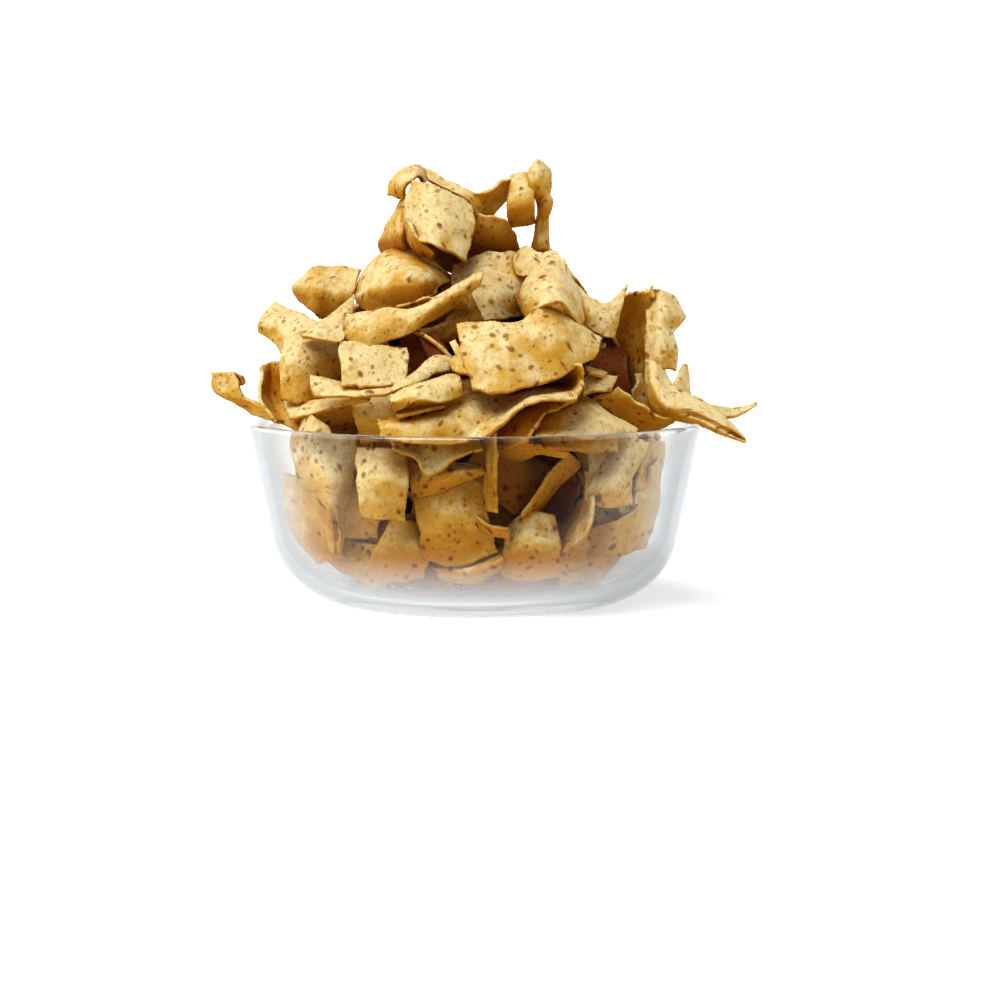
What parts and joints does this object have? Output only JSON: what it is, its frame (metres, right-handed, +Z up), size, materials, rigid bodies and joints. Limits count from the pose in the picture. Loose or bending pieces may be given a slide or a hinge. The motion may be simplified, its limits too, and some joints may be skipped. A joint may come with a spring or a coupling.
{
  "type": "bowl of crisps",
  "caption": "Clear glass serving bowl heaped high with curled golden multigrain crisps, some hanging over the rim",
  "frame": {"origin": "middle of the flat foot of the bowl, on the surface it stands on", "axes": "+Z up along the bowl's axis, +X to the right as the heap is seen from the front, +Y to the back"},
  "size_m": [0.1915, 0.1596, 0.1559],
  "materials": {
    "clear_glass": "smooth clear pressed glass with a rounded lip",
    "baked_dough": "crisp baked multigrain dough, golden with brown bran specks and small blisters"
  },
  "bodies": {
    "root": {"bowl": "clear_glass", "crisps": "baked_dough"}
  },
  "joints": []
}
